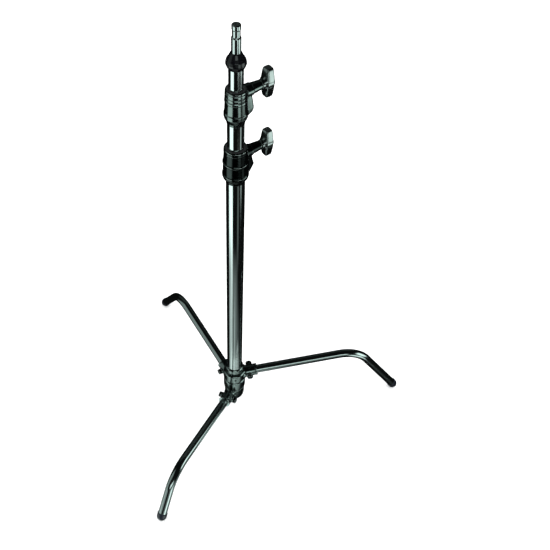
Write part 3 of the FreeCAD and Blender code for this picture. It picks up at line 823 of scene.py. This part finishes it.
# %% The wing knob
def power(value, exponent):
    """A power that keeps the sign, the building stone of superellipses."""
    return np.sign(value) * np.abs(value) ** exponent


def wing(centre, outward, half_height, half_depth, hub, tip):
    """Levels go as a power of sin s, and their size as a power of cos s; each level is a rounded
    rectangle. The half width falls in a straight line from the hub to the tip."""
    s = np.linspace(-math.pi / 2, math.pi / 2, 121)[:, None]
    t = np.linspace(0, 2 * math.pi, 97)[None]
    level = power(np.sin(s), 0.5)
    size = np.abs(np.cos(s)) ** 0.15
    share = np.clip((np.abs(level) * half_height - hub * 0.5) / (half_height - hub * 0.5), 0, 1)
    width = size * (hub + (tip - hub) * share)
    depth = size * half_depth * (1 - 0.06 * share)
    side = np.cross(UP, outward)
    x = depth * power(np.cos(t), 0.42)
    y = width * power(np.sin(t), 0.42)
    z = level * half_height + 0 * t
    return centre + x[..., None] * outward + y[..., None] * side + z[..., None] * UP


KNOB_HEIGHT, KNOB_DEPTH, HUB_HALF, TIP_HALF = 27.5, 8, 11.5, 7.8
NECK_LENGTH = 15


def knob(node, reach):
    """A neck with a hub band, a round face and the wing, all about the clamp screw's axis."""
    height = middle(node)[2]
    line = straight(height * UP, lock_way)
    root = reach - NECK_LENGTH
    face = reach + KNOB_DEPTH
    neck = lathe([(4.1, root), (8.4, root, 0.6), (8.6, root + 3, 1), (9.2, reach - 10.5, 1.5),
                  (12.2, reach - 6.5, 1.2), (12.2, reach + 5, 1.5), (4.1, reach + 5)], line, 72, closed=True)
    cap = lathe([(0, reach), (9.6, reach), (9.6, face, 1.0), (8.6, face + 1.1, 0.8), (6.4, face + 1.1, 0.4),
                 (5.8, face + 0.5, 0.4), (0, face + 0.5)], line, 72)
    body = wing(height * UP + reach * lock_way, lock_way, KNOB_HEIGHT, KNOB_DEPTH, HUB_HALF, TIP_HALF)
    return piece(node, [neck, cap, body])


knob("base_lock_knob", 68)
knob("riser_lock_knob", 64)

# %% [markdown]
# ## Cap and pin
# The second riser ends in a ball-shaped cap, and the cap carries the baby pin: a round body, an
# undercut neck that a clamp's screw drops into, and a head with a small turning centre.

# %% The cap and the pin
CORE_RADIUS, SHANK_RADIUS, PIN_RADIUS, UNDERCUT = 12.5, 6.5, 8, 6.7

foot, top = low("top_cap")[2], high("top_cap")[2]
ball = [(CORE_RADIUS, foot, 0.2), (13.2, foot, 0.5), (15.0, foot + 3.0, 3), (17.0, foot + 8.4, 0.7),
        (17.0, foot + 11.0, 0.7), (15.9, foot + 16.0, 4), (12.4, foot + 21.4, 4), (9.2, top, 1),
        (SHANK_RADIUS, top, 0.3), (SHANK_RADIUS, top - 8, 0.2), (CORE_RADIUS, top - 8, 0.2)]
piece("top_cap", [lathe(ball, around=128, closed=True)])

foot, top = low("spigot")[2], high("spigot")[2]
seat = high("top_cap")[2] + 0.2
shoulder = top - 22.5
pin = [(0, foot), (SHANK_RADIUS, foot, 0.4), (SHANK_RADIUS, seat, 0.1), (PIN_RADIUS, seat, 0.3),
       (PIN_RADIUS, shoulder, 0.7), (UNDERCUT, shoulder + 2.2, 0.8), (UNDERCUT, top - 9.4, 1),
       (7.5, top - 7.6, 0.6), (7.5, top - 1.3, 0.5), (6.3, top, 0.5), (1.6, top, 0.3), (0.6, top - 1.6, 0.3),
       (0, top - 1.6)]
piece("spigot", [lathe(pin, around=96)])

# %% [markdown]
# ## Hub
# Three castings sit on the foot of the base tube, one above the other, and each has a socket for
# its leg and a boss across it for the bolt. The shells of ring, socket and boss overlap and are
# melted into one skin, which leaves the soft inner corners of a casting.

# %% Places along a leg
RISE = math.radians(10)
FALL = math.radians(55.5)
BEND_RADIUS = 70
LEG_RADIUS = 10
LEG_WALL = 2
LEG_START = 25
BOLT_REACH = 36
SOCKET_END = 54
FOOT_SEAT = 10.9
FOOT_HEAD = 9
BOSS_HALF = 16.5
RING_RADIUS = 26


class Leg:
    """Where one leg runs, from the frame: its direction, its height on the column and its foot."""

    def __init__(self, name):
        self.name = name
        stand = np.array(MOUNT[name + "_floor_face"]["pos_m"]) / MM
        self.foot_reach = np.hypot(*stand[:2])
        self.outward = np.append(stand[:2] / self.foot_reach, 0)
        self.side = np.cross(UP, self.outward)
        self.height = middle(name + "_nut")[2] - BOLT_REACH * math.tan(RISE)
        drop = self.foot_reach * math.tan(FALL) + FOOT_SEAT - self.height
        self.elbow = drop / (math.tan(RISE) + math.tan(FALL))
        self.up_along = math.cos(RISE) * self.outward + math.sin(RISE) * UP
        self.down_along = math.cos(FALL) * self.outward - math.sin(FALL) * UP

    def at(self, reach):
        """The point of the rising axis at a distance from the column."""
        return reach * self.outward + (self.height + reach * math.tan(RISE)) * UP


LEGS = [Leg(name) for name in ("top_leg", "middle_leg", "bottom_leg")]
print("elbows at", [round(leg.elbow, 1) for leg in LEGS], "mm from the column")

# %% The three castings
def socket_shells(leg, ring_radius):
    """The barrel that holds the tube, flared at its root, and the boss across it."""
    line = straight(leg.at(0), leg.up_along)
    stretch = 1 / math.cos(RISE)
    start, end = 20 * stretch, SOCKET_END * stretch
    barrel = lathe([(10.1, start), (16.5, start, 1), (16.5, ring_radius - 2, 1), (14.0, ring_radius + 3.5, 3),
                    (14.0, end - 3.4, 0.5), (14.5, end - 2.8, 0.5), (14.5, end - 0.4, 0.8), (13.4, end, 0.5),
                    (10.1, end, 0.5)], line, 96, closed=True)
    across = straight(leg.at(BOLT_REACH), leg.side)
    boss = lathe([(0, -BOSS_HALF), (6.6, -BOSS_HALF, 0.6), (7.3, 1 - BOSS_HALF, 0.5),
                  (7.6, BOSS_HALF - 1, 0.5), (6.6, BOSS_HALF, 0.6), (0, BOSS_HALF)], across, 64)
    return [barrel, boss]


CAST_GRAIN = 0.7


def turning_casting(leg):
    """A ring round the column with a socket, a bolt boss and the drilled hole of its detent."""
    node = leg.name + "_casting"
    foot, top = RINGS[leg.name]
    ring = lathe([(17.6, foot, 0.4), (24.0, foot, 0.8), (RING_RADIUS, foot + 2.2, 1.0),
                  (RING_RADIUS, top - 2.6, 1.0), (23.6, top, 0.8), (17.6, top, 0.4)], around=128, closed=True)
    detent = leg.name + "_detent"
    line = straight(middle(detent)[2] * UP, bearing_of(detent))
    hole = lathe([(0, 21), (3, 21, 0.1), (3, 25.4, 0.1), (4.2, 27), (0, 27)], line, 40)
    return piece(node, [ring] + socket_shells(leg, RING_RADIUS), cast=CAST_GRAIN, holes=[hole])


RINGS = {"top_leg": (high("upper_hub_washer")[2], low("hub_wave_spring")[2]),
         "middle_leg": (high("lower_hub_washer")[2], low("upper_hub_washer")[2])}
print("rings:", RINGS)
for leg in LEGS[:2]:
    turning_casting(leg)

foot, top = low("bottom_leg_casting")[2], high("lower_hub_washer")[2] - 1.3
cup = lathe([(0, foot), (9, foot, 3), (17, foot + 2.4, 5), (22, foot + 9, 7), (23.6, foot + 19, 8),
             (23.6, top - 8.5, 1), (24.6, top - 6.5, 0.6), (24.6, top - 0.6, 0.6), (17.5, top, 0.4),
             (17.5, foot + 10, 1), (0, foot + 10)], around=128)
piece("bottom_leg_casting", [cup] + socket_shells(LEGS[2], 23.5), cast=CAST_GRAIN)

# %% [markdown]
# Above the castings sit a wave spring, which keeps the rings from rattling, and a stop collar with
# a set screw. A wave spring is a flat ring whose height swings three times on the way round.

# %% Washers, wave spring and stop collar
for node in ("lower_hub_washer", "upper_hub_washer"):
    foot, top = low(node)[2], high(node)[2]
    radius = high(node)[0]
    flat_ring = [(17.6, foot, 0.1), (radius, foot, 0.3), (radius, top, 0.3), (17.6, top, 0.1)]
    piece(node, [lathe(flat_ring, closed=True)])


def wave_spring(node, waves=3, thickness=0.7):
    """A flat ring lifted by half the free height times the sine of three turns."""
    foot, top = low(node)[2], high(node)[2]
    radius = high(node)[0]
    flat_ring = [(17.7, 0, 0.1), (radius, 0, 0.1), (radius, thickness, 0.1), (17.7, thickness, 0.1)]
    grid = lathe(flat_ring, around=160, closed=True)
    angle = np.arctan2(grid[..., 1], grid[..., 0])
    swing = (top - foot - thickness) / 2
    grid[..., 2] += foot + swing * (1 + np.sin(waves * angle))
    return piece(node, [grid])


wave_spring("hub_wave_spring")
foot, top = low("hub_stop_collar")[2], high("hub_stop_collar")[2]
screw_line = straight(middle("hub_set_screw")[2] * UP, bearing_of("hub_set_screw"))
screw_hole = lathe([(0, 16), (2.6, 16, 0.1), (2.6, 23, 0.1), (0, 23)], screw_line, 40)
stop = [(17.5, foot, 0.2), (20.2, foot, 0.5), (20.8, foot + 0.9, 0.5), (20.8, top - 2.2, 0.7),
        (19.2, top, 0.6), (17.5, top, 0.3)]
piece("hub_stop_collar", [lathe(stop, around=128, closed=True)], holes=[screw_hole])

# %% [markdown]
# ## Legs
# Each leg is one tube: a gentle rise out of its socket, one round bend and a straight drop. The
# open end is closed by a rubber foot whose round head is a little wider than the tube.

# %% Tubes and feet
def leg_tube(leg):
    """The wall of the tube: out along the bore, back along the outside."""
    turn = RISE + FALL
    setback = BEND_RADIUS * math.tan(turn / 2)
    run = (leg.elbow - LEG_START) / math.cos(RISE) - setback
    elbow_height = leg.at(leg.elbow)[2]
    drop = (elbow_height - FOOT_SEAT) / math.sin(FALL) - setback - FOOT_HEAD
    length = run + BEND_RADIUS * turn + drop
    spine = bent(leg.at(LEG_START), leg.outward, RISE, run, BEND_RADIUS, turn)
    bore = LEG_RADIUS - LEG_WALL
    wall = rounded([(0, bore, 0.2), (0, LEG_RADIUS, 0.4), (length, LEG_RADIUS, 0.5), (length, bore, 0.4)],
                   closed=True)
    return piece(leg.name + "_tube", [carried(fine(wall, 3), spine, 72)])


def leg_foot(leg):
    """A plug turned about the falling axis; its head is a ball, pressed flat where it stands."""
    centre = leg.foot_reach * leg.outward + FOOT_SEAT * UP
    line = straight(centre, -leg.down_along)
    ball = 11.25
    t = np.linspace(0, math.pi / 2, 24)
    dome = np.stack([-ball * np.cos(t), ball * np.sin(t)], axis=1)
    rest = rounded([(-0.1, ball), (FOOT_HEAD - 0.1, ball, 1.1), (FOOT_HEAD, 8.05, 0.2), (27, 7.9, 0.5),
                    (27, 0)])
    grid = carried(np.concatenate([dome, rest[1:]]), line, 72)
    grid[..., 2] = np.maximum(grid[..., 2], 0)
    return piece(leg.name + "_foot", [grid])


for leg in LEGS:
    leg_tube(leg)
    leg_foot(leg)

# %% [markdown]
# A hexagon head is a circle whose radius is the distance to the nearest flat, and the chamfer at
# its face is a smaller circle that cuts the six corners off.

# %% Bolts and nuts
def hexagon(start, along, length, corner, chamfer=0.8):
    """A hexagon prism: the radius is flat / cos(angle to the nearest flat's middle)."""
    flat = corner * math.cos(math.pi / 6)
    limit = rounded([(0, 0), (0, flat - 0.4, 0.2), (chamfer, corner + 0.1, 0.1),
                     (length - chamfer, corner + 0.1, 0.1), (length, flat - 0.4, 0.2), (length, 0)], steps=3)
    turn = np.linspace(0, 2 * math.pi, 97)
    nearest = (turn + math.pi / 6) % (math.pi / 3) - math.pi / 6
    radius = np.minimum(limit[:, 1, None], flat / np.cos(nearest)[None])
    centre, lift, side = straight(start, along)(limit[:, 0])
    around = np.cos(turn)[None, :, None] * lift[:, None] + np.sin(turn)[None, :, None] * side[:, None]
    return centre[:, None] + radius[..., None] * around


HEAD, NUT, HEX_CORNER = 5.3, 6.5, 7.5


def cross_bolt(leg):
    """The bolt through the socket's boss: a hexagon head, a round shank and a nut on its end."""
    centre = leg.at(BOLT_REACH)
    line = straight(centre, leg.side)
    head = hexagon(centre - (BOSS_HALF + HEAD) * leg.side, leg.side, HEAD, HEX_CORNER)
    shank = lathe([(0, -BOSS_HALF - 1), (4, -BOSS_HALF - 1), (4, BOSS_HALF + NUT + 0.4, 0.2),
                   (3.3, BOSS_HALF + NUT + 1, 0.2), (0, BOSS_HALF + NUT + 1)], line, 48)
    piece(leg.name + "_bolt", [head, shank])
    piece(leg.name + "_nut", [hexagon(centre + BOSS_HALF * leg.side, leg.side, NUT, HEX_CORNER)])


for leg in LEGS:
    cross_bolt(leg)

# %% [markdown]
# ## What stays as designed
# Guides, plugs, liners, pads, pins and detents sit inside the stand. Their design shapes are right
# as they are, so they only take their finishes.

# %% Finish the pieces that stay
replaced = {made.name[len("fine_"):] for made in bpy.data.objects if made.name.startswith("fine_")}
for node, thing in frame["nodes"].items():
    if node not in replaced:
        thing.data.materials.clear()
        thing.data.materials.append(FINISH[SLOT[node]])
print("kept as designed:", sorted(set(frame["nodes"]) - replaced))
